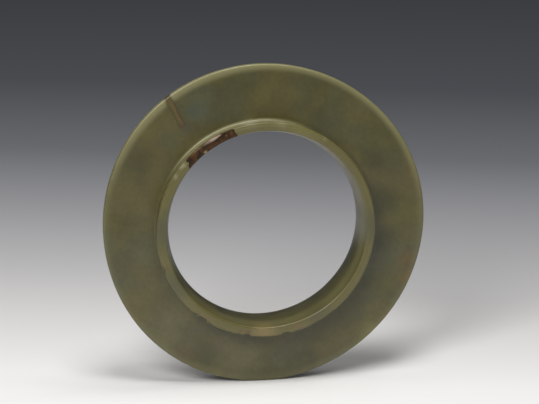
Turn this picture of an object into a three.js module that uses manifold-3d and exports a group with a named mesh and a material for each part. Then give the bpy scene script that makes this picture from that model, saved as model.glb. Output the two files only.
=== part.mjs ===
// A collared jade ring, carved from one pebble of nephrite: a round disc that thins towards its edge,
// with a raised collar round its hole on both faces. Lengths are millimetres, angles are degrees.
// The ring stands on its edge. The hole runs along Y, the front face looks towards -Y and +Z is up.
// A clock angle is read on the front face, clockwise from straight up.
import * as THREE from "three";
import { mergeVertices } from "three/addons/utils/BufferGeometryUtils.js";
import Module from "manifold-3d";

// Hole. It was drilled from both faces, so it is narrowest at mid-height and flares to its mouths.
// It is a little off the collar's centre, so the rim is wider at lower left than at upper right.
const waistRadius = 31.05;
const mouthFlare = 1.85;
const waistHeightShare = 0.33;
const mouthRounding = 0.4;
const holeOffset = 0.3;
const holeOffsetClock = 55;

// Collar: a wall round the hole, slightly hollow outside, so its foot is narrower than its rim
const collarHeight = 17.9;
const rimWall = 3.1;
const wallHollow = 1.1;
const rimCornerRounding = 0.5;
const footFillet = 0.6;

// Disc: a flange round the collar, a little off its centre, that thins outwards to a rounded edge
const discWidth = 17;
const discFootThickness = 4.4;
const discEdgeThickness = 2;
const edgeRounding = 0.6;
const collarOffset = 0.59;
const collarOffsetClock = 225;

// The hand-cut outline strays from a true circle by a slight oval and a slight rounded triangle
const ovalRise = 0.18;
const ovalClock = 163;
const triangleRise = 0.3;
const triangleClock = 79;

// Chips along the front rim's outer corner: where each one is, and its length and depth. Each is a
// flake's scar that runs down the collar's wall.
const chipLength = 4.4;
const chipDepth = 0.8;
const chipScoopRadius = 3;
const chipScoopFall = 5;
const chipClocks = [169.4, 190.2, 215.8, 250.4, 308.6];
const chipLengthShares = [0.9, 0.8, 1.5, 0.9, 0.55];
const chipDepthShares = [1.2, 1.3, 1.4, 1.4, 0.5];

// Rind: a lens of the pebble's weathered skin in the collar's front rim
const rindClock = 328;
const rindLength = 18.8;
const rindDepth = 1.8;
const seatGap = 0.3;

// Vein: a filled crack through the disc, widest at the outer edge, with a rounded inner end
const veinOuterClock = 324.2;
const veinInnerClock = 321.4;
const veinLength = 12;
const veinOuterWidth = 2.1;
const veinInnerWidth = 1.2;

// How finely the round shapes are faceted, and how far a cutter reaches past what it cuts
const ringSegments = 112;
const lensSegments = 96;
const scoopSegments = 16;
const veinTipSegments = 6;
const boreSegments = 3;
const roundingSegments = 3;
const filletSegments = 2;
const overrun = 2;

// The radii that follow from the sizes above
const mouthRadius = waistRadius + mouthFlare;
const collarRimRadius = mouthRadius + rimWall;
const collarFootRadius = collarRimRadius - wallHollow;
const discRadius = collarRimRadius + discWidth;

const wasm = await Module();
wasm.setup();

// A three.js geometry as a solid that can be cut
function solidFrom(geometry) {
  const bare = geometry.clone();
  bare.deleteAttribute("normal");
  bare.deleteAttribute("uv");
  const merged = mergeVertices(bare);
  return new wasm.Manifold(
    new wasm.Mesh({
      numProp: 3,
      vertProperties: merged.attributes.position.array,
      triVerts: new Uint32Array(merged.index.array),
    }),
  );
}

// A cut solid as a named mesh with its own material
function meshFrom(name, solid, look) {
  const { vertProperties, triVerts } = solid.getMesh();
  const geometry = new THREE.BufferGeometry();
  geometry.setAttribute("position", new THREE.BufferAttribute(vertProperties, 3));
  geometry.setIndex(new THREE.BufferAttribute(triVerts, 1));
  geometry.computeVertexNormals();
  const mesh = new THREE.Mesh(geometry, new THREE.MeshStandardMaterial(look));
  mesh.name = name;
  return mesh;
}

// The direction of a clock angle in the plane of the ring: x to the right, y up
function clockDirection(clock) {
  const angle = THREE.MathUtils.degToRad(clock);
  return new THREE.Vector2(Math.sin(angle), Math.cos(angle));
}

// A corner rounded off between two points, as points along a curve
function roundedCorner(from, corner, to, segments) {
  return new THREE.QuadraticBezierCurve(from, corner, to).getPoints(segments);
}

// The front half of the ring's section, from the hole's waist over the rim to the disc's edge.
// A point is given by its distance from the axis and its height above the disc's middle plane.
function frontSection() {
  const at = (radius, height) => new THREE.Vector2(radius, -height);
  const rim = collarHeight / 2;
  const foot = discFootThickness / 2;
  const edge = discEdgeThickness / 2;
  return [
    ...roundedCorner(
      at(waistRadius, 0),
      at(waistRadius, rim * waistHeightShare),
      at(mouthRadius, rim - mouthRounding),
      boreSegments,
    ),
    ...roundedCorner(
      at(mouthRadius, rim - mouthRounding),
      at(mouthRadius, rim),
      at(mouthRadius + mouthRounding, rim),
      roundingSegments,
    ).slice(1),
    ...roundedCorner(
      at(collarRimRadius - rimCornerRounding, rim),
      at(collarRimRadius, rim),
      at(collarRimRadius, rim - rimCornerRounding),
      roundingSegments,
    ),
    ...roundedCorner(
      at(collarFootRadius, foot + footFillet),
      at(collarFootRadius, foot),
      at(collarFootRadius + footFillet, foot),
      filletSegments,
    ),
    ...roundedCorner(
      at(discRadius - edgeRounding, edge),
      at(discRadius, edge),
      at(discRadius, 0),
      roundingSegments,
    ),
  ];
}

// The hand-cut outline's rise above a true circle at a clock angle
function outlineRise(clock) {
  const oval = Math.cos(2 * THREE.MathUtils.degToRad(clock - ovalClock));
  const triangle = Math.cos(3 * THREE.MathUtils.degToRad(clock - triangleClock));
  return ovalRise * oval + triangleRise * triangle;
}

// The whole ring before it was chipped: the section turned round Y, then the disc's outline eased off
// the circle, the collar moved off the disc's centre and the hole off the collar's.
function ringSolid() {
  const front = frontSection();
  const back = front
    .slice(1, -1)
    .reverse()
    .map((point) => new THREE.Vector2(point.x, -point.y));
  const section = [...front, ...back, front[0].clone()];
  const geometry = new THREE.LatheGeometry(section, ringSegments);
  const position = geometry.attributes.position;
  const collarShift = clockDirection(collarOffsetClock).multiplyScalar(collarOffset);
  const holeShift = clockDirection(holeOffsetClock).multiplyScalar(holeOffset);
  for (let i = 0; i < position.count; i += 1) {
    const point = new THREE.Vector2(position.getX(i), position.getZ(i));
    const radius = point.length();
    const outward = THREE.MathUtils.smoothstep(radius, collarRimRadius, discRadius);
    const clock = THREE.MathUtils.radToDeg(Math.atan2(point.x, point.y));
    point.multiplyScalar(1 + (outlineRise(clock) * outward) / radius);
    const inward = 1 - THREE.MathUtils.smoothstep(radius, mouthRadius, collarFootRadius);
    point.addScaledVector(collarShift, 1 - outward);
    point.addScaledVector(holeShift, inward);
    position.setXYZ(i, point.x, position.getY(i), point.y);
  }
  return solidFrom(geometry);
}

// A place on the collar, which sits off the disc's centre, as x, y and z
function onCollar(clock, radius, height) {
  const point = clockDirection(clock).multiplyScalar(radius);
  point.addScaledVector(clockDirection(collarOffsetClock), collarOffset);
  return new THREE.Vector3(point.x, -height, point.y);
}

// A smooth scoop that bites into the front rim's outer corner and fades out down the wall
function chipScoop(clock, length, depth) {
  const biteShare = Math.sqrt(1 - (1 - depth / chipScoopRadius) ** 2);
  const reach = length / 2 / biteShare;
  const geometry = new THREE.SphereGeometry(1, scoopSegments, scoopSegments / 2);
  geometry.scale(reach, chipScoopFall, chipScoopRadius);
  geometry.rotateY(THREE.MathUtils.degToRad(clock));
  const height = collarHeight / 2 + depth / 2;
  const centre = onCollar(clock, collarRimRadius + chipScoopRadius - depth, height);
  geometry.translate(centre.x, centre.y, centre.z);
  return solidFrom(geometry);
}

// The round cutter that the rind's underside follows, lying across the rim
function rindLens(clearance) {
  const lensRadius = (rindLength ** 2 / 4 + rindDepth ** 2) / (2 * rindDepth);
  const wall = collarRimRadius - waistRadius;
  const geometry = new THREE.CylinderGeometry(
    lensRadius + clearance,
    lensRadius + clearance,
    wall + 2 * overrun,
    lensSegments,
  );
  geometry.rotateX(Math.PI / 2);
  geometry.rotateY(THREE.MathUtils.degToRad(rindClock));
  const height = collarHeight / 2 - rindDepth + lensRadius;
  const centre = onCollar(rindClock, collarRimRadius - wall / 2, height);
  geometry.translate(centre.x, centre.y, centre.z);
  return solidFrom(geometry);
}

// The vein's outline on the disc, pushed right through it
function veinWedge(clearance) {
  const outer = clockDirection(veinOuterClock).multiplyScalar(discRadius + overrun);
  const inner = clockDirection(veinInnerClock).multiplyScalar(discRadius - veinLength);
  const along = outer.clone().sub(inner).normalize();
  const across = new THREE.Vector2(along.y, -along.x);
  const outerHalf = veinOuterWidth / 2 + clearance;
  const innerHalf = veinInnerWidth / 2 + clearance;
  const corner = (base, side, step) =>
    base.clone().addScaledVector(across, side).addScaledVector(along, step);
  const shape = new THREE.Shape();
  const start = corner(inner, innerHalf, 0);
  const tip = corner(inner, 0, -2 * innerHalf);
  const end = corner(inner, -innerHalf, 0);
  const outerRight = corner(outer, outerHalf, 0);
  const outerLeft = corner(outer, -outerHalf, 0);
  shape.moveTo(outerRight.x, outerRight.y);
  shape.lineTo(start.x, start.y);
  shape.quadraticCurveTo(tip.x, tip.y, end.x, end.y);
  shape.lineTo(outerLeft.x, outerLeft.y);
  shape.closePath();
  const depth = discFootThickness + 2 * overrun;
  const extrusion = { depth, bevelEnabled: false, curveSegments: veinTipSegments };
  const geometry = new THREE.ExtrudeGeometry(shape, extrusion);
  geometry.rotateX(Math.PI / 2);
  geometry.translate(0, depth / 2, 0);
  return solidFrom(geometry);
}

// The carved stone, with its chips, the rind's seat and the vein's crack
function jadeRing(ring) {
  let stone = ring;
  chipClocks.forEach((clock, i) => {
    const length = chipLength * chipLengthShares[i];
    const depth = chipDepth * chipDepthShares[i];
    stone = stone.subtract(chipScoop(clock, length, depth));
  });
  stone = stone.subtract(rindLens(seatGap));
  stone = stone.subtract(veinWedge(seatGap));
  return meshFrom("jade_ring", stone, { color: "#5a5841", roughness: 0.3, metalness: 0 });
}

// The weathered skin, flush with the rim
function russetRind(ring) {
  const skin = ring.intersect(rindLens(0));
  return meshFrom("russet_rind", skin, { color: "#4a2c20", roughness: 0.25, metalness: 0 });
}

// The crack's filling, flush with the disc
function ochreVein(ring) {
  const filling = ring.intersect(veinWedge(0));
  return meshFrom("ochre_vein", filling, { color: "#6b5a30", roughness: 0.35, metalness: 0 });
}

const ring = ringSolid();
const group = new THREE.Group();
group.add(jadeRing(ring), russetRind(ring), ochreVein(ring));

// The origin is at the bottom of the ring's edge, below its middle, so the ring stands on z = 0
const box = new THREE.Box3().setFromObject(group, true);
const middle = box.getCenter(new THREE.Vector3());
group.children.forEach((mesh) => mesh.geometry.translate(-middle.x, -middle.y, -box.min.z));

export default group;
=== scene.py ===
# %% [markdown]
# # A collared jade ring
# One pebble of nephrite, carved into a flat round disc with a raised collar round its hole on both
# faces. The carver sawed a slab, drilled the hole from both sides, ground the collar and the disc out
# of the slab, and polished the whole by hand. This lesson follows the same order: first the true
# shape, then its wear, then the stone's own colours, and last the light.

import math

import bmesh
import bpy
import numpy as np
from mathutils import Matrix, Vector


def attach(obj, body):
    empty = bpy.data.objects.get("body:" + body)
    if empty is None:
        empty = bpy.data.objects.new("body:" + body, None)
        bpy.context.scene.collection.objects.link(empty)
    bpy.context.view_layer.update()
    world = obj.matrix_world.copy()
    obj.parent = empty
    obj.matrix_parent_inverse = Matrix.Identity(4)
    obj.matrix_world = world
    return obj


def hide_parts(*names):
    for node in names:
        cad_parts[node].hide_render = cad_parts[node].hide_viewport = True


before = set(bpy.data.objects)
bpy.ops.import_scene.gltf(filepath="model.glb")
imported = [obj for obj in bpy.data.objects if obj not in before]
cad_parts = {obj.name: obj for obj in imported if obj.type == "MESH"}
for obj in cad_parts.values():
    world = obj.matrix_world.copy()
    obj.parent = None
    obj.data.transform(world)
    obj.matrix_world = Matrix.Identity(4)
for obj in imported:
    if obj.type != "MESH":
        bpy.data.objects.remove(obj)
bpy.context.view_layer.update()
MM = 0.001

# %% [markdown]
# ## Measure before modelling
# A good copy starts with the callipers. The solid model already knows where the hole is, how narrow
# its waist is and how high the collar stands, so those sizes are read from its vertices instead of
# being typed again. The waist's vertices are the ones near the middle plane and well inside the disc.
# The hole isn't quite in the middle of the ring, because the ring is hand-cut.

# %%
# Read the ring's main sizes from the solid
NEAR_MIDDLE_PLANE = 0.2 * MM
INSIDE_THE_DISC = 35 * MM


def vertices_of(mesh):
    places = np.empty(len(mesh.vertices) * 3)
    mesh.vertices.foreach_get("co", places)
    return places.reshape(-1, 3)


def move_vertices(mesh, places):
    mesh.vertices.foreach_set("co", places.ravel())
    mesh.update()


solid = vertices_of(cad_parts["jade_ring"].data)
rough_centre = (solid.min(0) + solid.max(0)) / 2
rough_radius = np.hypot(*(solid - rough_centre)[:, [0, 2]].T)
at_waist = (np.abs(solid[:, 1]) < NEAR_MIDDLE_PLANE) & (rough_radius < INSIDE_THE_DISC)
hole_centre = np.append(np.unique(solid[at_waist].round(6), axis=0).mean(0)[[0, 2]], 0)[[0, 2, 1]]
waist_radius = np.hypot(*(solid[at_waist] - hole_centre)[:, [0, 2]].T).mean()
rim_height = solid[:, 1].max()
print("hole centre", hole_centre.round(5), "waist radius", round(waist_radius, 5), "rim height", rim_height)

# %% [markdown]
# ## Draw the section
# Turn a ring on its axis and every cut through it shows the same section, here a T lying on its
# side: the collar's wall is the bar and the disc is the stem. So the ring is one drawing, spun once
# round the hole's axis. The drawing starts as a single vertex that is extruded from corner to corner,
# which is how a profile is drawn by hand. A cylinder with a hole would need the same corners, and
# would give no control over how each one is rounded.

# %%
# The section's sizes
MOUTH_FLARE = 1.85 * MM
WAIST_HEIGHT_SHARE = 0.33
RIM_WALL = 3.1 * MM
WALL_HOLLOW = 1.1 * MM
DISC_WIDTH = 17.0 * MM
DISC_FOOT_THICKNESS = 4.4 * MM
DISC_EDGE_THICKNESS = 2 * MM
WAIST_ROUNDING = 2.8 * MM
MOUTH_ROUNDING = 0.4 * MM
RIM_ROUNDING = 0.5 * MM
FOOT_ROUNDING = 0.6 * MM
EDGE_ROUNDING = 0.6 * MM

mouth_radius = waist_radius + MOUTH_FLARE
rim_radius = mouth_radius + RIM_WALL
foot_radius = rim_radius - WALL_HOLLOW
disc_radius = rim_radius + DISC_WIDTH

# Each corner of the front half: distance from the axis, height above the disc's middle plane, how
# far its rounding reaches and in how many steps
front_corners = [
    (waist_radius, rim_height * WAIST_HEIGHT_SHARE, WAIST_ROUNDING, 5),
    (mouth_radius, rim_height, MOUTH_ROUNDING, 4),
    (rim_radius, rim_height, RIM_ROUNDING, 4),
    (foot_radius, DISC_FOOT_THICKNESS / 2, FOOT_ROUNDING, 4),
    (disc_radius, DISC_EDGE_THICKNESS / 2, EDGE_ROUNDING, 5),
]
print("radii: mouth", round(mouth_radius, 5), "rim", round(rim_radius, 5), "disc", round(disc_radius, 5))

# %%
# Draw it: one vertex, extruded from corner to corner, closed, and each corner rounded
SAME_PLACE = 0.01 * MM


def section_place(radius, height):
    return Vector((radius, -height, 0))


def select_only(edit_mesh, wanted):
    for vertex in edit_mesh.verts:
        vertex.select_set(wanted(vertex))
    edit_mesh.select_flush_mode()


def select_at(piece, places):
    select_only(
        bmesh.from_edit_mesh(piece.data),
        lambda vertex: min((vertex.co - place).length for place in places) < SAME_PLACE,
    )


def draw_section(name):
    front = [section_place(radius, height) for radius, height, _, _ in front_corners]
    back = [Vector((place.x, -place.y, place.z)) for place in reversed(front)]
    places = front + back
    bpy.ops.object.select_all(action="DESELECT")
    bpy.ops.mesh.primitive_plane_add(size=1 * MM, location=hole_centre)
    piece = bpy.context.object
    piece.name = piece.data.name = name
    bpy.ops.object.mode_set(mode="EDIT")
    bpy.ops.mesh.select_mode(type="VERT")
    bpy.ops.mesh.select_all(action="SELECT")
    bpy.ops.mesh.merge(type="CENTER")
    bpy.ops.transform.translate(value=places[0])
    for before, after in zip(places, places[1:]):
        bpy.ops.mesh.extrude_vertices_move(TRANSFORM_OT_translate={"value": after - before})
    select_at(piece, (places[0], places[-1]))
    bpy.ops.mesh.edge_face_add()
    for radius, height, reach, steps in front_corners:
        select_at(piece, [section_place(radius, side * height) for side in (1, -1)])
        bpy.ops.mesh.bevel(offset=reach, segments=steps, affect="VERTICES")
    return piece


ring = draw_section("stone_of_the_ring")
print("section drawn with", len(bmesh.from_edit_mesh(ring.data).verts), "vertices")

# %% [markdown]
# ## Turn it into a ring
# The long straight stretches are first cut into short ones, because wear and chips need vertices to
# move. Then the section is swept right round the hole's axis. The Screw modifier with no rise does
# the same as the spin tool and is much quicker on a section this fine; it also merges the seam where
# the last step meets the first.

# %%
# Subdivide the long edges, sweep the section round and close the seam
LONGEST_EDGE = 1.0 * MM
SWEEP_STEPS = 640
MERGE_GAP = 0.001 * MM


def halve_long_edges(piece, longest):
    bpy.ops.mesh.select_mode(type="EDGE")
    while True:
        edit_mesh = bmesh.from_edit_mesh(piece.data)
        for edge in edit_mesh.edges:
            edge.select_set(edge.calc_length() > longest)
        if not any(edge.select for edge in edit_mesh.edges):
            return
        bpy.ops.mesh.subdivide(number_cuts=1)


def select_piece(piece):
    bpy.ops.object.select_all(action="DESELECT")
    bpy.context.view_layer.objects.active = piece
    piece.select_set(True)


def apply_modifier(piece, kind, **settings):
    select_piece(piece)
    bpy.ops.object.modifier_add(type=kind)
    modifier = piece.modifiers[-1]
    for setting, value in settings.items():
        setattr(modifier, setting, value)
    bpy.ops.object.modifier_apply(modifier=modifier.name)


def settle_in_place(piece):
    select_piece(piece)
    bpy.ops.object.transform_apply(location=True, rotation=True, scale=True)
    bpy.ops.object.mode_set(mode="EDIT")
    bpy.ops.mesh.select_all(action="SELECT")
    bpy.ops.mesh.remove_doubles(threshold=MERGE_GAP)
    bpy.ops.mesh.normals_make_consistent(inside=False)
    bpy.ops.object.mode_set(mode="OBJECT")


halve_long_edges(ring, LONGEST_EDGE)
bpy.ops.object.mode_set(mode="OBJECT")
apply_modifier(ring, "SCREW", axis="Y", steps=SWEEP_STEPS, render_steps=SWEEP_STEPS, use_merge_vertices=True)
settle_in_place(ring)
print("swept ring:", len(ring.data.vertices), "vertices,", len(ring.data.polygons), "faces")

# %% [markdown]
# ## Ease the outline off the circle
# A true circle looks machine-made. This ring was sawn and ground by eye, so the disc's outline has a
# slight oval and a slight rounded triangle in it, under a third of a millimetre each. The collar
# stands a little off the disc's middle, and the hole a little off the collar's, so the rim is wider at
# lower left than at upper right. Only the hole was drilled and is truly round. The vertices are moved
# in code, because each move depends on its own clock angle: read on the front face, clockwise from
# straight up.

# %%
# Give the collar and the disc their own centres, and the disc its hand-cut outline
HOLE_OFFSET, HOLE_OFFSET_CLOCK = 0.3 * MM, 55
COLLAR_OFFSET, COLLAR_OFFSET_CLOCK = 0.59 * MM, 225
OVAL_RISE, OVAL_CLOCK = 0.18 * MM, 163
TRIANGLE_RISE, TRIANGLE_CLOCK = 0.3 * MM, 79


def clock_direction(clock):
    return np.array([math.sin(math.radians(clock)), 0, math.cos(math.radians(clock))])


def polar(places, centre):
    across = (places - centre) * (1, 0, 1)
    radius = np.linalg.norm(across, axis=1)
    return across / radius[:, None], radius, np.degrees(np.arctan2(across[:, 0], across[:, 2])) % 360


def smoothstep(value, start, end):
    share = np.clip((value - start) / (end - start), 0, 1)
    return share * share * (3 - 2 * share)


collar_centre = hole_centre - HOLE_OFFSET * clock_direction(HOLE_OFFSET_CLOCK)
disc_centre = collar_centre - COLLAR_OFFSET * clock_direction(COLLAR_OFFSET_CLOCK)
places = vertices_of(ring.data)
direction, radius, clock = polar(places, hole_centre)
off_the_bore = smoothstep(radius, mouth_radius, foot_radius)[:, None]
outward = smoothstep(radius, rim_radius, disc_radius)[:, None]
oval = OVAL_RISE * np.cos(2 * np.radians(clock - OVAL_CLOCK))
triangle = TRIANGLE_RISE * np.cos(3 * np.radians(clock - TRIANGLE_CLOCK))
places += off_the_bore * (collar_centre - hole_centre)
places += outward * (direction * (oval + triangle)[:, None] + disc_centre - collar_centre)
move_vertices(ring.data, places)
print("disc is", (np.ptp(places[:, 0]) / MM).round(2), "by", (np.ptp(places[:, 2]) / MM).round(2), "mm")

# %% [markdown]
# ## Centuries of wear
# Grinding by hand leaves broad, shallow hollows that only show when light slides over them, and
# handling wears the rim's outer corner in faint waves, most of all along the bottom and the left.
# Displace modifiers with a cloud texture do both. A middle level of 1 makes them only take stone
# away, never add it, and a vertex group tells the second one where the corner is worn and how much.

# %%
# Shallow grinding hollows all over, then waves along the rim's outer corner
HOLLOW_SPACING, HOLLOW_DEPTH = 18 * MM, 0.16 * MM
WAVE_SPACING, WAVE_DEPTH = 3.2 * MM, 0.24 * MM
WORN_FROM, WORN_TO, WORN_FADE = 146, 292, 14
LIGHT_WEAR, LEAST_WEAR = 0.22, 0.01
CORNER_CORE, CORNER_REACH = 0.3 * MM, 1.5 * MM


def cloud_texture(name, spacing, depth=2):
    texture = bpy.data.textures.new(name, "CLOUDS")
    texture.noise_scale = spacing
    texture.noise_depth = depth
    return texture


def wear_away(piece, texture, depth, group=""):
    settings = {"texture": texture, "texture_coords": "LOCAL", "strength": depth, "mid_level": 1}
    apply_modifier(piece, "DISPLACE", vertex_group=group, **settings)


wear_away(ring, cloud_texture("grinding_hollows", HOLLOW_SPACING, 1), HOLLOW_DEPTH)
places = vertices_of(ring.data)
_, radius, clock = polar(places, collar_centre)
to_corner = np.hypot(radius - rim_radius, places[:, 1] + rim_height)
not_past = 1 - smoothstep(clock, WORN_TO, WORN_TO + WORN_FADE)
most_worn = smoothstep(clock, WORN_FROM - WORN_FADE, WORN_FROM) * not_past
near_corner = 1 - smoothstep(to_corner, CORNER_CORE, CORNER_REACH)
wear = (LIGHT_WEAR + (1 - LIGHT_WEAR) * most_worn) * near_corner
worn_corner = ring.vertex_groups.new(name="worn_corner")
for index in np.flatnonzero(wear > LEAST_WEAR):
    worn_corner.add([int(index)], float(wear[index]), "REPLACE")
wear_away(ring, cloud_texture("corner_waves", WAVE_SPACING), WAVE_DEPTH, "worn_corner")
print("vertices worn at the corner:", int((wear > LEAST_WEAR).sum()))

# %% [markdown]
# ## Chips along the rim
# Nephrite is tough, but its corners still flake when they are knocked. Each flake leaves a shallow
# scar that starts at the rim's outer corner and runs down the wall, so each chip is made as it
# happened: a lumpy ball, stretched along the wall, bites in from outside. The ball is an ico sphere,
# because its faces are all about as big and its bumps come out even. The list gives clock angle,
# length and depth. The first five are the big ones, which the solid model has too.

# %%
# Shape one biting ball for each chip
BITE_RADIUS, BITE_FALL = 3 * MM, 6 * MM
BITE_BUMPS, BUMP_SPACING = 0.2 * MM, 1.3 * MM
FROM_OUTSIDE = math.radians(82)
chips = [
    (169.4, 4.2, 1.15), (190.2, 3.6, 1.1), (215.8, 6.8, 1.15), (250.4, 4.2, 0.95), (308.6, 2.4, 0.5),
    (164.0, 6.0, 0.45), (195.0, 4.8, 0.55), (199.4, 2.2, 0.7), (211.8, 2.6, 0.9), (220.2, 3.0, 0.9),
    (254.0, 3.6, 0.5), (151.0, 2.4, 0.3), (229.0, 2.6, 0.25), (272.0, 3.2, 0.3), (312.4, 1.8, 0.4),
]


def place_on_rim(clock, radius, height):
    return Vector(collar_centre + radius * clock_direction(clock) - np.array([0, height, 0]))


def bite(clock, length, depth, ball, fall, lean, bumps):
    reach = length / 2 / math.sqrt(1 - (1 - depth / ball) ** 2)
    outward, forward = (ball - depth) * math.sin(lean), (ball - depth) * math.cos(lean)
    bpy.ops.object.select_all(action="DESELECT")
    bpy.ops.mesh.primitive_ico_sphere_add(
        subdivisions=5,
        radius=1,
        location=place_on_rim(clock, rim_radius + outward, rim_height + forward),
        rotation=(0, math.radians(clock), 0),
        scale=(reach, fall, ball),
    )
    cutter = bpy.context.object
    cutter.name = f"bite_at_{clock}"
    settle_in_place(cutter)
    wear_away(cutter, cloud_texture("bite_bumps", BUMP_SPACING), bumps)
    return cutter


bites = [
    bite(clock, length * MM, depth * MM, BITE_RADIUS, BITE_FALL, FROM_OUTSIDE, BITE_BUMPS)
    for clock, length, depth in chips
]
print("chips to cut:", len(bites))

# %% [markdown]
# ## The rind's worn corner
# Over the rind the rim's outer corner is rubbed down to a long soft facet, which catches the lamp as
# a white streak. It leans only a third of a right angle away from the rim's front, so one more, much
# larger and smoother ball bites in mostly from the front.

# %%
# A large smooth ball for the rubbed corner, and then all the bites at once
RUBBED_CLOCK, RUBBED_LENGTH, RUBBED_DEPTH = 330.0, 12 * MM, 0.7 * MM
RUBBED_BALL, RUBBED_BUMPS = 9 * MM, 0.04 * MM
FROM_FRONT = math.radians(32)


def join(pieces, name):
    bpy.ops.object.select_all(action="DESELECT")
    for piece in pieces:
        piece.select_set(True)
    bpy.context.view_layer.objects.active = pieces[0]
    bpy.ops.object.join()
    pieces[0].name = name
    return pieces[0]


def cut(piece, cutter, operation):
    apply_modifier(piece, "BOOLEAN", object=cutter, operation=operation, solver="MANIFOLD")


def throw_away(piece):
    bpy.data.objects.remove(piece, do_unlink=True)


rubbed = bite(RUBBED_CLOCK, RUBBED_LENGTH, RUBBED_DEPTH, RUBBED_BALL, RUBBED_BALL, FROM_FRONT, RUBBED_BUMPS)
for cutter in (join(bites, "all_bites"), rubbed):
    cut(ring, cutter, "DIFFERENCE")
    throw_away(cutter)
print("chipped ring:", len(ring.data.vertices), "vertices")

# %% [markdown]
# ## The lens that the rind fills
# The red-brown rind is what is left of the pebble's weathered skin. It lies in the rim like a lens:
# flush on top, rounded underneath, with a ragged outline. A cylinder lying across the rim has that
# rounded underside. Its faces are cut small and pushed about by a fine cloud texture, and the ragged
# outline comes by itself where it meets the rim.

# %%
# Shape the rind's lens
RIND_CLOCK, RIND_LENGTH, RIND_DEPTH = 328, 18.8 * MM, 1.8 * MM
RAGGED_SPACING, RAGGED_REACH = 1.6 * MM, 0.9 * MM
LENS_OVERRUN = 4 * MM
FINE_EDGE = 0.5 * MM
rind_radius = (RIND_LENGTH**2 / 4 + RIND_DEPTH**2) / (2 * RIND_DEPTH)
wall = rim_radius - waist_radius
bpy.ops.object.select_all(action="DESELECT")
bpy.ops.mesh.primitive_cylinder_add(
    vertices=360,
    radius=rind_radius + RAGGED_REACH / 2,
    depth=wall + LENS_OVERRUN,
    location=place_on_rim(RIND_CLOCK, rim_radius - wall / 2, rim_height - RIND_DEPTH + rind_radius),
    rotation=(0, math.radians(RIND_CLOCK), 0),
)
lens = bpy.context.object
lens.name = "rind_lens"
settle_in_place(lens)
bpy.ops.object.mode_set(mode="EDIT")
halve_long_edges(lens, FINE_EDGE)
bpy.ops.object.mode_set(mode="OBJECT")
wear_away(lens, cloud_texture("ragged_edge", RAGGED_SPACING), RAGGED_REACH)
print("lens:", len(lens.data.vertices), "vertices, radius", round(rind_radius, 5))

# %% [markdown]
# ## The wedge that the vein fills
# Long ago the pebble cracked, and iron-bearing water filled the crack with ochre. The disc was carved
# right through it, so the vein shows on both faces and on the edge. A thin box is the start: its
# inner end is scaled narrower and rounded by a bevel, and its walls are subdivided and made uneven,
# because no crack is straight.

# %%
# Shape the vein's wedge
VEIN_OUTER_CLOCK, VEIN_INNER_CLOCK = 324.2, 321.4
VEIN_LENGTH, VEIN_OUTER_WIDTH, VEIN_INNER_WIDTH = 12 * MM, 2.1 * MM, 1.2 * MM
VEIN_END_ROUNDING = 0.55 * MM
UNEVEN_SPACING, UNEVEN_DEPTH = 2 * MM, 0.3 * MM
OVERRUN = 2 * MM

# An edge that rises more than this along Y runs right through the disc
THROUGH_RISE = 1 * MM
vein_outer = Vector(disc_centre + (disc_radius + OVERRUN) * clock_direction(VEIN_OUTER_CLOCK))
vein_inner = Vector(disc_centre + (disc_radius - VEIN_LENGTH) * clock_direction(VEIN_INNER_CLOCK))
vein_line = vein_outer - vein_inner
bpy.ops.object.select_all(action="DESELECT")
bpy.ops.mesh.primitive_cube_add(
    size=1,
    location=(vein_outer + vein_inner) / 2,
    rotation=(0, math.atan2(vein_line.x, vein_line.z), 0),
    scale=(VEIN_OUTER_WIDTH, DISC_FOOT_THICKNESS + 2 * OVERRUN, vein_line.length),
)
wedge = bpy.context.object
wedge.name = "vein_wedge"
bpy.ops.object.mode_set(mode="EDIT")
select_only(bmesh.from_edit_mesh(wedge.data), lambda vertex: vertex.co.z < 0)
bpy.ops.transform.resize(value=(VEIN_INNER_WIDTH / VEIN_OUTER_WIDTH, 1, 1), orient_type="LOCAL")
edit_mesh = bmesh.from_edit_mesh(wedge.data)
bpy.ops.mesh.select_mode(type="EDGE")
for edge in edit_mesh.edges:
    low = all(vertex.co.z < 0 for vertex in edge.verts)
    edge.select_set(low and abs(edge.verts[0].co.y - edge.verts[1].co.y) > THROUGH_RISE)
bpy.ops.mesh.bevel(offset=VEIN_END_ROUNDING, segments=4)
halve_long_edges(wedge, FINE_EDGE)
bpy.ops.mesh.select_all(action="SELECT")
bpy.ops.mesh.quads_convert_to_tris()
bpy.ops.object.mode_set(mode="OBJECT")
settle_in_place(wedge)
wear_away(wedge, cloud_texture("uneven_crack", UNEVEN_SPACING), UNEVEN_DEPTH)
print("wedge:", len(wedge.data.vertices), "vertices, length", round(vein_line.length, 5))

# %% [markdown]
# ## Part the stone
# One ring now gives all three pieces. The rind is what the ring and the lens share, the vein what the
# ring and the wedge share, and the stone is the rest. Cutting them from one shape leaves them flush,
# with no step to see or to catch a fingernail, as on the real polished ring.

# %%
# Rind and vein are intersections of the ring, the stone is what is left
def copy_of(piece, name):
    twin = piece.copy()
    twin.data = piece.data.copy()
    twin.name = twin.data.name = name
    bpy.context.collection.objects.link(twin)
    return twin


rind = copy_of(ring, "rind_patch")
vein = copy_of(ring, "vein_streak")
stone = ring
cut(rind, lens, "INTERSECT")
cut(vein, wedge, "INTERSECT")
cut(stone, lens, "DIFFERENCE")
cut(stone, wedge, "DIFFERENCE")
throw_away(lens)
throw_away(wedge)
print("pieces:", stone.name, rind.name, vein.name)

# %% [markdown]
# ## Clean the cuts
# A Boolean leaves slivers thinner than a hair, and vertices that only two edges meet in. Two faces
# that share such a vertex can be cut into the same triangle twice, which is a loose folded flap in an
# exported mesh. So slivers are dissolved, then those vertices until none is left, and the faces are
# made triangles here, where the result can be looked at.

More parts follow.
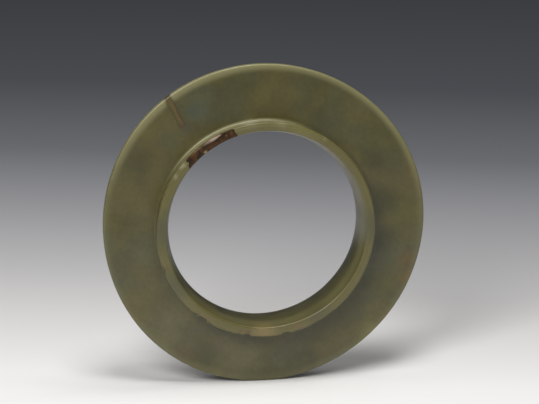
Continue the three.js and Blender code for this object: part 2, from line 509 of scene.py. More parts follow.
# %%
# Dissolve slivers and needless vertices, make triangles and smooth the shading
SLIVER = 0.002 * MM
SHARPEST_SMOOTH = math.radians(32)


def on_two_edges(vertex):
    return len(vertex.link_edges) == 2


def finish_mesh(piece):
    select_piece(piece)
    piece.vertex_groups.clear()
    bpy.ops.object.mode_set(mode="EDIT")
    bpy.ops.mesh.select_all(action="SELECT")
    bpy.ops.mesh.dissolve_degenerate(threshold=SLIVER)
    bpy.ops.mesh.select_mode(type="VERT")
    while any(on_two_edges(vertex) for vertex in bmesh.from_edit_mesh(piece.data).verts):
        select_only(bmesh.from_edit_mesh(piece.data), on_two_edges)
        bpy.ops.mesh.dissolve_verts()
    bpy.ops.mesh.select_all(action="SELECT")
    bpy.ops.mesh.quads_convert_to_tris()
    bpy.ops.object.mode_set(mode="OBJECT")
    bpy.ops.object.shade_smooth_by_angle(angle=SHARPEST_SMOOTH)
    print(piece.name, "has", len(piece.data.polygons), "triangles")


for piece in (stone, rind, vein):
    finish_mesh(piece)

# %% [markdown]
# ## Tools for the stone's colours
# Everything that follows about colour is built from nodes, so it belongs to the stone and not to a
# picture wrapped round it. Noise on Object coordinates runs right through the solid, and that is what
# real stone does: a cloud that starts on the face goes on round the edge. A few small helpers keep
# the recipes readable.

# %%
# Helpers that add and join nodes
def add_node(tree, kind, inputs=None, **settings):
    made = tree.nodes.new(kind)
    for setting, value in settings.items():
        setattr(made, setting, value)
    for socket, value in (inputs or {}).items():
        if isinstance(value, bpy.types.NodeSocket):
            tree.links.new(value, made.inputs[socket])
        else:
            made.inputs[socket].default_value = value
    return made


def paint(red, green, blue):
    return (*(((level / 255 + 0.055) / 1.055) ** 2.4 for level in (red, green, blue)), 1)


def clouds(tree, where, size, detail=2, distortion=0.0):
    inputs = {"Vector": where, "Scale": 1 / size, "Detail": detail, "Distortion": distortion}
    return add_node(tree, "ShaderNodeTexNoise", inputs).outputs[0]


def ease(tree, value, start, end, low=0.0, high=1.0):
    inputs = {"Value": value, "From Min": start, "From Max": end, "To Min": low, "To Max": high}
    return add_node(tree, "ShaderNodeMapRange", inputs, interpolation_type="SMOOTHSTEP").outputs[0]


def calculate(tree, operation, first, second=0.0):
    return add_node(tree, "ShaderNodeMath", {0: first, 1: second}, operation=operation).outputs[0]


def times(tree, first, second):
    return calculate(tree, "MULTIPLY", first, second)


def vector(tree, operation, first, second):
    return add_node(tree, "ShaderNodeVectorMath", {0: first, 1: second}, operation=operation).outputs[0]


def vector_dot(tree, first, second):
    inputs = {0: first, 1: tuple(second)}
    return add_node(tree, "ShaderNodeVectorMath", inputs, operation="DOT_PRODUCT").outputs["Value"]


def blend(tree, amount, first, second, mode="MIX"):
    inputs = {0: amount, 6: first, 7: second}
    return add_node(tree, "ShaderNodeMix", inputs, data_type="RGBA", blend_type=mode).outputs[2]


def distance_to(tree, where, point):
    made = add_node(tree, "ShaderNodeVectorMath", {0: where, 1: point}, operation="DISTANCE")
    return made.outputs["Value"]


def tint_at(tree, adrift, colour, place, reach, strength, tint, core_share=0.1):
    away = distance_to(tree, adrift, place)
    return blend(tree, ease(tree, away, reach, core_share * reach, 0, strength), colour, tint)


print("a mid grey paints as", round(paint(128, 128, 128)[0], 3))

# %% [markdown]
# ## Where the marks lie
# Some marks are this ring's own: brown clouds low on the disc, grey-green ones at the upper left,
# rust at the edge. Others are painted light and shade: deep olive beside the collar at the right is
# the collar's painted shadow on the disc, and light olive low on the disc is painted light from the
# floor. Each is one entry in a list: clock angle, distance from the disc's centre, reach in
# millimetres, strength, colour. A ball of that reach is tinted at that place inside the stone, and
# noise frays its outline. Painting them on a picture would be quicker, but they would end at the
# surface.

# %%
# The stone's colours, and the marks that are placed one by one
GREY_GREEN = paint(72, 74, 51)
YELLOW_BROWN = paint(83, 76, 37)
OLIVE = paint(71, 68, 35)
PAINTED_FLOOR_LIGHT = paint(94, 89, 57)
BROWN = paint(84, 68, 42)
PINKISH = paint(88, 76, 54)
RUST = paint(94, 68, 24)
DEEP_OLIVE_AND_SHADOW = paint(54, 51, 20)
WARM_OLIVE = paint(75, 72, 24)
EDGE_LIGHT = paint(116, 112, 66)
BLUE_GREEN = paint(64, 72, 60)

# Deep olive at clocks 62 to 120, next to the collar, is the collar's painted shadow; light olive at clocks
# 190 and 222 is painted light from the floor
disc_marks = [
    (314, 41.7, 6, 0.5, GREY_GREEN), (334, 44.8, 8, 0.6, GREY_GREEN), (302, 42.8, 8, 0.3, YELLOW_BROWN),
    (279, 45.0, 8, 0.3, YELLOW_BROWN), (260, 40.7, 9, 0.5, GREY_GREEN), (239, 46.6, 9, 0.7, YELLOW_BROWN),
    (212, 50.2, 5, 0.8, BROWN), (229, 48.9, 2.5, 0.8, BROWN), (200, 42.5, 4.5, 0.6, PINKISH),
    (172, 45.0, 7, 0.5, GREY_GREEN), (149, 49.4, 5, 0.6, YELLOW_BROWN), (107, 49.8, 4.5, 0.5, RUST),
    (113.5, 51.5, 4.2, 0.9, RUST), (117, 51.0, 3, 0.6, BROWN),
    (72, 51.5, 2, 0.6, RUST), (339, 43.5, 3, 0.5, OLIVE), (18, 45.7, 1.2, 0.5, YELLOW_BROWN),
    (56, 46.0, 11, 0.6, WARM_OLIVE), (88, 45.0, 12, 0.7, WARM_OLIVE), (190, 46.0, 12, 0.8, PAINTED_FLOOR_LIGHT),
    (222, 46.0, 12, 0.8, PAINTED_FLOOR_LIGHT), (62, 41.0, 6, 0.5, DEEP_OLIVE_AND_SHADOW), (80, 40.5, 8, 0.8, DEEP_OLIVE_AND_SHADOW),
    (100, 40.5, 8, 0.8, DEEP_OLIVE_AND_SHADOW), (120, 40.5, 5, 0.5, DEEP_OLIVE_AND_SHADOW), (270, 46.0, 9, 0.35, DEEP_OLIVE_AND_SHADOW),
    (298, 46.0, 8, 0.35, DEEP_OLIVE_AND_SHADOW), (329, 44.5, 5, 0.6, BLUE_GREEN), (322, 40.5, 3.5, 0.5, BLUE_GREEN),
    (137, 52.5, 7, 0.5, EDGE_LIGHT),
    (272, 47.0, 10, 0.4, WARM_OLIVE), (118, 46.0, 9, 0.5, WARM_OLIVE),
]
DISC_FACE = 2.2 * MM


def place_on_disc(clock, radius):
    return Vector(disc_centre + radius * MM * clock_direction(clock) - np.array([0, DISC_FACE, 0]))


print("marks on the disc:", len(disc_marks))

# %% [markdown]
# ## The nephrite's colour
# Nephrite is a felt of tiny fibres with iron in it, so its colour drifts in soft clouds between
# grey-green and yellow-brown, with a finer mottle and a grain that only shows close up. It is never
# striped like wood or veined like marble. Overlay with a grey noise makes a colour lighter and darker
# by the same share, and leaves its hue alone.

# %%
# One function makes the colour, because the rind and the vein fade into it at their borders
WARM_CLOUD, COOL_CLOUD = 24 * MM, 15 * MM
COOL_FRAY_SIZE, MARK_FRAY_SIZE, FRAY_REACH = 10 * MM, 8 * MM, 5 * MM
MOTTLE, GRAIN, FELT = 6 * MM, 1.6 * MM, 0.5 * MM


def frayed(tree, where, size, reach):
    inputs = {"Vector": where, "Scale": 1 / size, "Detail": 2}
    noise = add_node(tree, "ShaderNodeTexNoise", inputs).outputs[1]
    centred = vector(tree, "SUBTRACT", noise, (0.5, 0.5, 0.5))
    scaled = vector(tree, "MULTIPLY", centred, (reach, reach, reach))
    return vector(tree, "ADD", where, scaled)


def nephrite_colour(tree, where):
    warmth = ease(tree, clouds(tree, where, WARM_CLOUD, 3, 0.4), 0.36, 0.64)
    colour = blend(tree, warmth, OLIVE, YELLOW_BROWN)
    cool_cloud = clouds(tree, frayed(tree, where, COOL_FRAY_SIZE, FRAY_REACH), COOL_CLOUD, 1)
    colour = blend(tree, ease(tree, cool_cloud, 0.46, 0.68, 0, 0.5), colour, GREY_GREEN)
    adrift = frayed(tree, where, MARK_FRAY_SIZE, FRAY_REACH)
    for clock, radius, reach, strength, tint in disc_marks:
        place = place_on_disc(clock, radius)
        colour = tint_at(tree, adrift, colour, place, reach * MM, strength, tint)
    for size, strength in ((MOTTLE, 0.28), (GRAIN, 0.2), (FELT, 0.12)):
        colour = blend(tree, strength, colour, clouds(tree, where, size, 2), "OVERLAY")
    return colour


print("clouds of", WARM_CLOUD, "and", COOL_CLOUD, "metres, mottled down to", FELT)

# %% [markdown]
# ## The edge's painted glow
# Light gets into nephrite for a few millimetres. Where the stone is thin, at the disc's edge, it comes
# out again and the stone looks paler, most of all at the top, where the edge faces the lamps. The
# shader's subsurface light does part of this, and the rest is painted light: the edge's colour is painted
# paler, most of all at the top, because lamps in a studio are weaker than the sun. The distance from the
# disc's centre tells the edge from the rest.

# %%
# Paint light onto the disc's edge, most of all at the top
# Painted glow: this pale colour paints light onto the thin edge and onto the collar's wall
PAINTED_GLOW = paint(132, 128, 90)
EDGE_REACH, EDGE_CORE = 3.0 * MM, 0.3 * MM
UPPER_CLOCK, UPPER_START, UPPER_END = 0, -10 * MM, 52 * MM
EDGE_GLOW_LOW, EDGE_GLOW_HIGH = 0.2, 0.84


def flat_distance(tree, where, centre):
    flat = vector(tree, "MULTIPLY", where, (1, 0, 1))
    return distance_to(tree, flat, tuple(centre))


def along(tree, where, direction):
    return vector_dot(tree, vector(tree, "SUBTRACT", where, tuple(hole_centre)), direction)


def paint_edge_glow(tree, where, colour):
    radius = flat_distance(tree, where, disc_centre)
    upper = ease(tree, along(tree, where, clock_direction(UPPER_CLOCK)), UPPER_START, UPPER_END)
    on_edge = ease(tree, radius, disc_radius - EDGE_REACH, disc_radius - EDGE_CORE)
    # Painted light: the edge's colour is painted paler, most at the top, where it faces the lamps
    edge_glow = ease(tree, upper, 0, 1, EDGE_GLOW_LOW, EDGE_GLOW_HIGH)
    return blend(tree, times(tree, on_edge, edge_glow), colour, PAINTED_GLOW)


print("the edge pales over its outer", EDGE_REACH, "metres")

# %% [markdown]
# ## The rim and the hole's wall
# The collar's rim is painted a paler, more yellow olive than the disc, a painted glow for light that
# comes through the thin wall. The hole's wall below the mouth is painted paler as well, painted light
# where the lamps reach into it, and the waist, which lies in its own shade, is painted greyer as painted
# shade. Height above the disc picks out the rim, and the distance from the hole's centre picks out the mouth
# and the waist.

# %%
# Paint the rim's front and the mouth paler as painted light, and the waist greyer as painted shade
RIM_PAINTED_GLOW = paint(97, 91, 49)
MOUTH_PAINTED_LIGHT = paint(98, 94, 62)
WAIST_PAINTED_SHADE = paint(70, 71, 62)
RIM_FADE_START, RIM_FADE_END = 7.4 * MM, 8.7 * MM
MOUTH_FADE = 0.5 * MM
WAIST_REACH, WAIST_CORE = 1.0 * MM, 0.3 * MM


def height_above_disc(tree, where):
    separate = add_node(tree, "ShaderNodeSeparateXYZ", {0: where})
    return calculate(tree, "ABSOLUTE", separate.outputs["Y"])


def between(tree, value, start, full, still_full, end):
    return times(tree, ease(tree, value, start, full), ease(tree, value, still_full, end, 1, 0))


def rim_and_hole(tree, where, colour):
    height = height_above_disc(tree, where)
    # Painted glow: the rim's front is painted paler, for light that comes through the thin wall
    colour = blend(tree, ease(tree, height, RIM_FADE_START, RIM_FADE_END, 0, 0.85), colour, RIM_PAINTED_GLOW)
    radius = flat_distance(tree, where, hole_centre)
    mouth = (mouth_radius, mouth_radius - MOUTH_FADE)
    in_mouth = between(tree, radius, *mouth, waist_radius + WAIST_REACH, waist_radius + WAIST_CORE)
    # Painted light: the hole's wall below the mouth is painted paler where the lamps reach in
    colour = blend(tree, times(tree, in_mouth, 0.9), colour, MOUTH_PAINTED_LIGHT)
    # Painted shade: the waist of the hole is painted greyer
    at_waist = ease(tree, radius, waist_radius + WAIST_REACH, waist_radius, 0, 0.4)
    return blend(tree, at_waist, colour, WAIST_PAINTED_SHADE)


print("the waist's grey reaches", WAIST_REACH, "metres up the flare")

# %% [markdown]
# ## The lit wall
# The collar's wall is thin too, and its glow where the lamps reach it is painted light: along its foot
# at the top, which shows as the pale line between disc and rim, and more faintly halfway up all round,
# which is what the chips lay bare. The wall is a band of distances from the collar's centre.

# %%
# Paint light onto the collar's wall
WALL_BAND = (-0.8 * MM, -0.1 * MM, 0.5 * MM, 1.1 * MM)
FOOT_GLOW_TOP, FOOT_GLOW_FULL = 5.5 * MM, 3.2 * MM
LIT_CLOCK, LIT_START, LIT_FULL = 342, 24 * MM, 35.5 * MM
UPPER_WALL = (3.4 * MM, 5 * MM, 7.4 * MM, 8.5 * MM)


def lit_wall(tree, where, colour):
    height = height_above_disc(tree, where)
    radius = flat_distance(tree, where, collar_centre)
    on_wall = between(tree, radius, *(foot_radius + step for step in WALL_BAND))
    near_foot = ease(tree, height, FOOT_GLOW_TOP, FOOT_GLOW_FULL, 0.25, 1)
    lit = ease(tree, along(tree, where, clock_direction(LIT_CLOCK)), LIT_START, LIT_FULL, 0, 0.88)
    upper_wall = times(tree, between(tree, height, *UPPER_WALL), 0.6)
    glow = calculate(tree, "MAXIMUM", times(tree, near_foot, lit), upper_wall)
    # Painted light: the wall's foot at the top, and a faint band halfway up all round
    return blend(tree, times(tree, on_wall, glow), colour, PAINTED_GLOW)


print("the wall's foot glows most at clock", LIT_CLOCK)

# %% [markdown]
# ## Grinding lines and stains on the rim
# The rim's front was ground flat by turning, which left faint rings. They need no drawing: noise that
# only depends on the distance from the collar's centre is the same all the way round. Then come the
# collar's marks, placed as the disc's are: pinkish and tan wear, reddish dirt in the chips, chalky
# spots on the outer corner, a painted highlight on the wall at the top, and longer stretches that are greyer
# or lighter.

# %%
# Add the lines, and the marks that are placed one by one
LINE_SPACING = 0.45 * MM
LINES_START, LINES_FULL = 1.0 * MM, 0.3 * MM
STAIN_FRAY_SIZE, STAIN_FRAY_REACH = 2.4 * MM, 2 * MM
BORE_GREY = paint(112, 110, 90)
RIM_GREY = paint(78, 76, 48)
RIM_TOP = paint(112, 106, 58)
RIM_TAN = paint(124, 108, 68)
RIM_PINK = paint(104, 82, 54)
RED_STAIN = paint(92, 66, 46)
CHALK_AND_HIGHLIGHT = paint(166, 160, 130)

# Clock angle, distance from the collar's centre, height above the middle plane, reach, strength, colour
collar_marks = [
    (90, 34.4, 8.9, 9.0, 0.8, RIM_GREY), (272, 34.4, 8.9, 10.0, 0.9, RIM_GREY),
    (240, 34.4, 8.9, 8.0, 0.9, RIM_GREY), (152, 34.3, 8.9, 1.5, 0.5, RIM_PINK),
    (150, 34.4, 8.9, 7.0, 0.7, RIM_GREY), (162, 34.3, 8.9, 3.0, 0.5, RIM_PINK),
    (181, 34.2, 8.9, 6.0, 0.8, RIM_TAN), (190, 34.9, 8.6, 1.6, 0.9, RED_STAIN),
    (194, 34.9, 8.8, 1.4, 0.6, RED_STAIN), (214, 34.3, 8.9, 1.8, 0.6, RIM_PINK),
    (219, 34.8, 8.8, 1.0, 0.6, RED_STAIN), (38, 34.2, 8.9, 1.6, 0.5, RIM_PINK),
    (251, 35.0, 8.7, 1.8, 0.5, RED_STAIN), (255, 35.4, 8.8, 1.1, 0.6, RIM_PINK),
    (33, 35.8, 8.8, 1.4, 0.25, CHALK_AND_HIGHLIGHT), (303, 35.3, 8.9, 1.2, 0.4, CHALK_AND_HIGHLIGHT),
    # The chalk-coloured marks at clocks 352 and 8, on the wall at the top, are a painted highlight
    (309, 35.5, 8.8, 1.6, 0.5, CHALK_AND_HIGHLIGHT), (352, 35.8, 5.6, 4.6, 0.5, CHALK_AND_HIGHLIGHT),
    (8, 35.8, 7.0, 3.6, 0.4, CHALK_AND_HIGHLIGHT), (20, 34.6, 8.9, 10.0, 0.5, RIM_TOP),
    (94, 31.8, 3.5, 7.0, 0.55, BORE_GREY),
]


def grinding_lines(tree, where):
    inputs = {"W": flat_distance(tree, where, collar_centre), "Scale": 1 / LINE_SPACING, "Detail": 1}
    return add_node(tree, "ShaderNodeTexNoise", inputs, noise_dimensions="1D").outputs[0]


def lines_and_stains(tree, where, colour):
    height = height_above_disc(tree, where)
    on_rim = ease(tree, height, rim_height - LINES_START, rim_height - LINES_FULL, 0, 0.5)
    colour = blend(tree, on_rim, colour, grinding_lines(tree, where), "OVERLAY")
    adrift = frayed(tree, where, STAIN_FRAY_SIZE, STAIN_FRAY_REACH)
    for clock, radius, above, reach, strength, tint in collar_marks:
        place = place_on_rim(clock, radius * MM, above * MM)
        colour = tint_at(tree, adrift, colour, place, reach * MM, strength, tint)
    return colour


print("marks on the collar:", len(collar_marks))

# %% [markdown]
# ## The surface: polish, grain and light inside the stone
# The ring was polished with fine sand and bamboo or leather, and then lay in the ground for a long
# time, so its gloss is soft and uneven. Roughness from broad noise gives that; fine noise there would
# show as worm-like specks in the highlights. Three bumps add the orange peel of old polish, a finer
# grain where tiny scratches would be, and the rings of grinding. Nephrite's index of refraction is 1.61.

# %%
# Build the nephrite
NEPHRITE_IOR = 1.61
GLOSS_CLOUD, PEEL_SIZE, SCRATCH_SIZE = 8 * MM, 2.5 * MM, 0.6 * MM
PEEL_BUMP, SCRATCH_BUMP, LINE_BUMP = (0.25, 0.06 * MM), (0.08, 0.02 * MM), (0.12, 0.03 * MM)
LIGHT_REACH = 2.2 * MM


def start_material(name):
    material = bpy.data.materials.new(name)
    material.use_nodes = True
    tree = material.node_tree
    where = add_node(tree, "ShaderNodeTexCoord").outputs["Object"]
    return material, tree, where, tree.nodes["Principled BSDF"]


def finish_surface(tree, surface, colour, roughness, bumps):
    tree.links.new(colour, surface.inputs["Base Color"])
    tree.links.new(roughness, surface.inputs["Roughness"])
    normal = None
    for height, strength, depth in bumps:
        inputs = {"Height": height, "Strength": strength, "Distance": depth}
        if normal:
            inputs["Normal"] = normal
        normal = add_node(tree, "ShaderNodeBump", inputs).outputs[0]
    tree.links.new(normal, surface.inputs["Normal"])


def let_light_in(surface, weight, reach, tint):
    surface.inputs["IOR"].default_value = NEPHRITE_IOR
    surface.inputs["Subsurface Weight"].default_value = weight
    surface.inputs["Subsurface Scale"].default_value = reach
    surface.inputs["Subsurface Radius"].default_value = tint


def dress(piece, material):
    piece.data.materials.clear()
    piece.data.materials.append(material)
    print(piece.name, "is dressed in", len(material.node_tree.nodes), "nodes")


nephrite, tree, where, surface = start_material("nephrite")
colour = paint_edge_glow(tree, where, nephrite_colour(tree, where))
colour = rim_and_hole(tree, where, colour)
colour = lit_wall(tree, where, colour)
clean_colour = lines_and_stains(tree, where, colour)
roughness = ease(tree, clouds(tree, where, GLOSS_CLOUD, 1), 0.3, 0.7, 0.29, 0.36)
bumps = [
    (clouds(tree, where, PEEL_SIZE, 3), *PEEL_BUMP),
    (clouds(tree, where, SCRATCH_SIZE, 2), *SCRATCH_BUMP),
    (grinding_lines(tree, where), *LINE_BUMP),
]
finish_surface(tree, surface, clean_colour, roughness, bumps)
let_light_in(surface, 0.4, LIGHT_REACH, (1, 0.92, 0.5))
surface.inputs["Specular IOR Level"].default_value = 0.42
dress(stone, nephrite)

# %% [markdown]
# ## The rind
# Iron in the soil rusts a pebble's skin. Here it is a glossy, nearly opaque red-brown with darker
# streaks and faint rust, tan where it thins out over the outer corner, with one pale fleck, and it
# fades into the stone with depth. Tinted balls place the tan and the fleck, as on the disc.

# %%
# Build the rind
RIND_DARK = paint(26, 13, 6)
RIND_RED = paint(56, 30, 12)
RIND_TAN = paint(98, 74, 46)
FLECK = paint(138, 118, 90)
STREAK_SIZE, STREAK_FRAY_SIZE, STREAK_FRAY_REACH = 3.2 * MM, 3 * MM, 1.5 * MM
RUST_SIZE, CRUST_SIZE, RIND_GLOSS_CLOUD = 1.3 * MM, 1.4 * MM, 2 * MM
RIND_FRAY_SIZE, RIND_FRAY_REACH = 1.0 * MM, 1.2 * MM
RIND_MARK_DEPTH = 0.2 * MM
RIND_FADE_START, RIND_FADE_END = 8.2 * MM, 7.2 * MM
CRUST_BUMP = (0.2, 0.06 * MM)
RIND_LIGHT_REACH = 0.6 * MM

# Clock angle, distance from the collar's centre, reach, strength, colour
rind_marks = [
    (319, 36.2, 1.8, 0.7, RIND_TAN), (322.5, 36.1, 1.8, 0.7, RIND_TAN), (326, 36.2, 1.6, 0.6, RIND_TAN),
    (323.7, 33.3, 0.9, 0.9, FLECK), (338, 34.6, 0.7, 0.6, RIND_TAN), (341, 35.0, 0.9, 0.6, RUST),
]


def rind_colour(tree, where):
    adrift = frayed(tree, where, STREAK_FRAY_SIZE, STREAK_FRAY_REACH)
    streaks = clouds(tree, adrift, STREAK_SIZE, 2)
    colour = blend(tree, ease(tree, streaks, 0.38, 0.62), RIND_DARK, RIND_RED)
    rust = clouds(tree, where, RUST_SIZE, 2)
    colour = blend(tree, ease(tree, rust, 0.5, 0.7, 0, 0.3), colour, RUST)
    adrift = frayed(tree, where, RIND_FRAY_SIZE, RIND_FRAY_REACH)
    for clock, radius, reach, strength, tint in rind_marks:
        place = place_on_rim(clock, radius * MM, rim_height - RIND_MARK_DEPTH)
        colour = tint_at(tree, adrift, colour, place, reach * MM, strength, tint, 0.2)
    height = height_above_disc(tree, where)
    into_stone = ease(tree, height, RIND_FADE_START, RIND_FADE_END, 0, 0.7)
    return blend(tree, into_stone, colour, nephrite_colour(tree, where))


weathered_rind, tree, where, surface = start_material("weathered_rind")
roughness = ease(tree, clouds(tree, where, RIND_GLOSS_CLOUD, 2), 0.3, 0.7, 0.2, 0.28)
crust = clouds(tree, where, CRUST_SIZE, 2)
finish_surface(tree, surface, rind_colour(tree, where), roughness, [(crust, *CRUST_BUMP)])
surface.inputs["Specular IOR Level"].default_value = 0.3
surface.inputs["Specular Tint"].default_value = (1, 0.82, 0.62, 1)
let_light_in(surface, 0.15, RIND_LIGHT_REACH, (1, 0.4, 0.2))
dress(rind, weathered_rind)

# %% [markdown]
# ## The vein
# The filled crack is ochre in the middle and brown along both borders, with a redder spot at its
# inner end. All that depends on how far a point is from the crack's middle line, so that distance is
# worked out in nodes: the nearest point of the line is a share of the way along it, held between 0
# and 1. The line starts a little way in from the wedge's inner end.

# %%
# Build the vein
VEIN_YELLOW = paint(86, 72, 30)
VEIN_BROWN = paint(66, 52, 22)
VEIN_RED = paint(68, 50, 26)
LINE_START_SHARE = 0.15
VEIN_FRAY_SIZE, VEIN_FRAY_REACH = 2.4 * MM, 1.2 * MM
YELLOW_CORE, YELLOW_REACH = 0.25 * MM, 0.85 * MM
BORDER_CORE, BORDER_REACH = 0.5 * MM, 1.3 * MM
VEIN_GRAIN, VEIN_GLOSS_CLOUD, VEIN_PIT_SIZE = 0.7 * MM, 1.5 * MM, 0.8 * MM
PIT_BUMP = (0.3, 0.05 * MM)
VEIN_LIGHT_REACH = 1.5 * MM


def distance_to_vein(tree, where):
    start, line = vein_inner + vein_line * LINE_START_SHARE, vein_line * (1 - LINE_START_SHARE)
    flat = vector(tree, "MULTIPLY", where, (1, 0, 1))
    offset = vector(tree, "SUBTRACT", flat, start)
    inputs = {0: vector_dot(tree, offset, line), 1: 1 / line.length_squared}
    share = add_node(tree, "ShaderNodeMath", inputs, operation="MULTIPLY", use_clamp=True).outputs[0]
    nearest = add_node(tree, "ShaderNodeVectorMath", {0: line, "Scale": share}, operation="SCALE")
    return distance_to(tree, offset, nearest.outputs[0]), share


def vein_colour(tree, where):
    away, share = distance_to_vein(tree, frayed(tree, where, VEIN_FRAY_SIZE, VEIN_FRAY_REACH))
    colour = blend(tree, ease(tree, away, YELLOW_CORE, YELLOW_REACH), VEIN_YELLOW, VEIN_BROWN)
    return blend(tree, ease(tree, share, 0.16, 0.02, 0, 0.5), colour, VEIN_RED), away


vein_filling, tree, where, surface = start_material("vein_filling")
colour, away = vein_colour(tree, where)
at_border = ease(tree, away, BORDER_CORE, BORDER_REACH, 0, 0.6)
colour = blend(tree, at_border, colour, nephrite_colour(tree, where))
colour = blend(tree, 0.3, colour, clouds(tree, where, VEIN_GRAIN, 3), "OVERLAY")
roughness = ease(tree, clouds(tree, where, VEIN_GLOSS_CLOUD, 3), 0.3, 0.7, 0.3, 0.46)
finish_surface(tree, surface, colour, roughness, [(clouds(tree, where, VEIN_PIT_SIZE, 3), *PIT_BUMP)])
let_light_in(surface, 0.3, VEIN_LIGHT_REACH, (1, 0.7, 0.3))
dress(vein, vein_filling)

# %% [markdown]
# ## The vein's stain
# Iron creeps out of a crack into the stone beside it, so the vein's border looks soft. The nephrite
# gets the vein's own colour, fading out over a millimetre, as a last layer over its finished colour.

# %%
# Stain the nephrite beside the vein
HALO_REACH, HALO_CORE = 1.7 * MM, 0.7 * MM
tree = nephrite.node_tree
surface = tree.nodes["Principled BSDF"]
stain, away = vein_colour(tree, tree.nodes["Texture Coordinate"].outputs["Object"])
halo = ease(tree, away, HALO_REACH, HALO_CORE, 0, 0.7)
tree.links.new(blend(tree, halo, clean_colour, stain), surface.inputs["Base Color"])
print("nephrite with the vein's stain has", len(tree.nodes), "nodes")

# %% [markdown]
# ## The paper
# The ring stands on one long sheet of paper. A pool of light and its fall-off are painted into the
# paper's colour: pale under the ring, falling away into dark grey behind and greyer in front, graded
# along one direction that leads back and a little to the right, so the light on the ring stays plain.

# %%
# Lay the paper and paint the pool of light and its fall-off into its colour
PAPER_SIZE = 6.0
TOOTH_SIZE = 1.2 * MM
TOOTH_BUMP = (0.1, 0.02 * MM)
FALL_OFF_DIRECTION = (0.287, 0.958, 0)

# Distance behind the ring's foot in metres, and the paper's painted brightness there
paper_painted_light = [
    (-0.60, paint(170, 170, 172)), (-0.20, paint(205, 205, 205)), (-0.10, paint(247, 247, 246)),
    (0.00, paint(240, 239, 237)), (0.07, paint(220, 218, 216)), (0.13, paint(196, 195, 195)),
    (0.21, paint(164, 164, 167)), (0.30, paint(119, 121, 125)), (0.41, paint(89, 91, 96)),
    (0.70, paint(69, 71, 76)),
]
bpy.ops.object.select_all(action="DESELECT")
bpy.ops.mesh.primitive_plane_add(size=PAPER_SIZE, location=(0, 0, 0))
paper = bpy.context.object
paper.name = "paper"
paper_painted_falloff, tree, where, surface = start_material("paper_painted_falloff")
far = vector_dot(tree, where, FALL_OFF_DIRECTION)
first, last = paper_painted_light[0][0], paper_painted_light[-1][0]
share = add_node(tree, "ShaderNodeMapRange", {"Value": far, "From Min": first, "From Max": last}).outputs[0]
ramp = add_node(tree, "ShaderNodeValToRGB", {0: share})
for index, (place, shade) in enumerate(paper_painted_light):
    position = (place - first) / (last - first)
    if index in (0, len(paper_painted_light) - 1):
        stop = ramp.color_ramp.elements[0 if index == 0 else -1]
    else:
        stop = ramp.color_ramp.elements.new(position)
    stop.position, stop.color = position, shade
tooth = clouds(tree, where, TOOTH_SIZE, 2)
matt = ease(tree, tooth, 0.2, 0.8, 0.85, 0.95)
finish_surface(tree, surface, ramp.outputs[0], matt, [(tooth, *TOOTH_BUMP)])
surface.inputs["Specular IOR Level"].default_value = 0.1
dress(paper, paper_painted_falloff)

# %% [markdown]
# ## Lamps
# Two soft lamps in front do most of the work, one from the left and one from high up. They light the
# carved face and throw the soft shadows behind the ring. A faint one overhead helps to draw the
# bright line along the top of the disc and the collar, and one from the upper right gives the fainter
# shadow to the left. Each lamp's power is worked out from its brightness, the share of white that it
# gives a sheet of paper facing it. All together they light the floor to about 1.

# %%
# Hang the lamps
LAMP_DISTANCE = 1.2
LAMP_AIM = Vector((0, 0, 0.05))


def soft_lamp(name, direction, size, brightness):
    toward = Vector(direction).normalized()
    turn = toward.to_track_quat("Z", "Y").to_euler()
    bpy.ops.object.light_add(type="AREA", location=LAMP_AIM + toward * LAMP_DISTANCE, rotation=turn)
    lamp = bpy.context.object
    lamp.name = name
    lamp.data.shape = "SQUARE"
    lamp.data.size = size
    lamp.data.energy = brightness * (math.pi * LAMP_DISTANCE) ** 2
    print(name, "power", round(lamp.data.energy, 2), "W")


# Name, direction towards the lamp, size and brightness
soft_lamp("front_left", (-0.41, -0.709, 0.574), 0.45, 0.66)
soft_lamp("high_front", (0.0, -0.358, 0.934), 0.4, 0.47)
soft_lamp("overhead", (-0.06, 0.12, 0.99), 0.3, 0.05)
soft_lamp("right", (0.37, -0.03, 0.93), 0.4, 0.18)

# %% [markdown]
# ## The surroundings
# The room gives a faint even glow, which keeps the shadows from going black. What the camera and the
# polish see behind the paper's far edge is a plain dark grey, so the Light Path node hands that to
# camera, glossy and transmission rays, and the faint glow to all others.

# %%
# Set the glow and the backdrop
GLOW = (0.06, 0.06, 0.063, 1)
BACKDROP = paint(62, 63, 67)

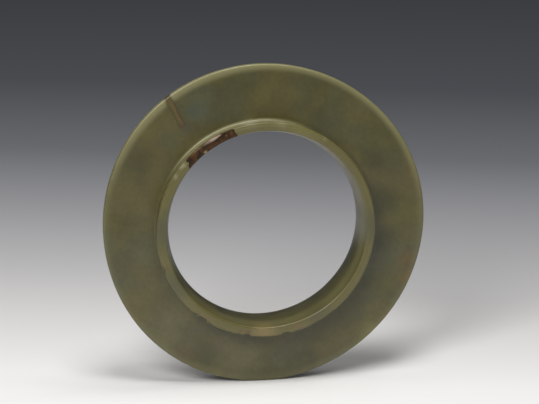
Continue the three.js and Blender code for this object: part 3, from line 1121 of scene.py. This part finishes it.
world = bpy.data.worlds.new("surroundings")
bpy.context.scene.world = world
world.use_nodes = True
tree = world.node_tree
light_path = add_node(tree, "ShaderNodeLightPath")
seen = calculate(tree, "MAXIMUM", light_path.outputs["Is Camera Ray"], light_path.outputs["Is Glossy Ray"])
seen = calculate(tree, "MAXIMUM", seen, light_path.outputs["Is Transmission Ray"])
glow = tree.nodes["Background"]
glow.inputs["Color"].default_value = GLOW
backdrop = add_node(tree, "ShaderNodeBackground", {"Color": BACKDROP})
mixed = add_node(tree, "ShaderNodeMixShader", {0: seen, 1: glow.outputs[0], 2: backdrop.outputs[0]})
tree.links.new(mixed.outputs[0], tree.nodes["World Output"].inputs["Surface"])
print("surroundings have", len(tree.nodes), "nodes")

# %% [markdown]
# ## Camera
# The camera stands a little to the left of the ring's axis and looks down on it by fifteen degrees,
# through a long lens, so that the circle stays nearly a circle. It aims a little to the right of the
# disc's centre and above it, because the ring sits low and left in the frame.

# %%
# Place the camera
CAMERA_AZIMUTH, CAMERA_ELEVATION = math.radians(-9.7), math.radians(14.57)
CAMERA_DISTANCE, CAMERA_LENS = 2.0, 411.4
AIM_RIGHT, AIM_UP = 2.12 * MM, 6.52 * MM
back = Vector((
    math.sin(CAMERA_AZIMUTH) * math.cos(CAMERA_ELEVATION),
    -math.cos(CAMERA_AZIMUTH) * math.cos(CAMERA_ELEVATION),
    math.sin(CAMERA_ELEVATION),
))
right = Vector((math.cos(CAMERA_AZIMUTH), math.sin(CAMERA_AZIMUTH), 0))
aim = Vector(disc_centre) + right * AIM_RIGHT + back.cross(right) * AIM_UP
turn = back.to_track_quat("Z", "Y").to_euler()
bpy.ops.object.camera_add(location=aim + back * CAMERA_DISTANCE, rotation=turn)
camera = bpy.context.object
camera.name = "camera"
camera.data.lens = CAMERA_LENS
bpy.context.scene.camera = camera
bpy.context.scene.view_settings.view_transform = "Standard"
print("camera at", camera.location)

# %% [markdown]
# ## Hand the pieces to the frame
# Each piece takes the place of its node in the solid model and rides on the one body there is.

# %%
# Name what each piece stands for, and finish
for piece, node, slot in (
    (stone, "jade_ring", "nephrite"),
    (rind, "russet_rind", "weathered_rind"),
    (vein, "ochre_vein", "vein_filling"),
):
    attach(piece, "root")
    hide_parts(node)
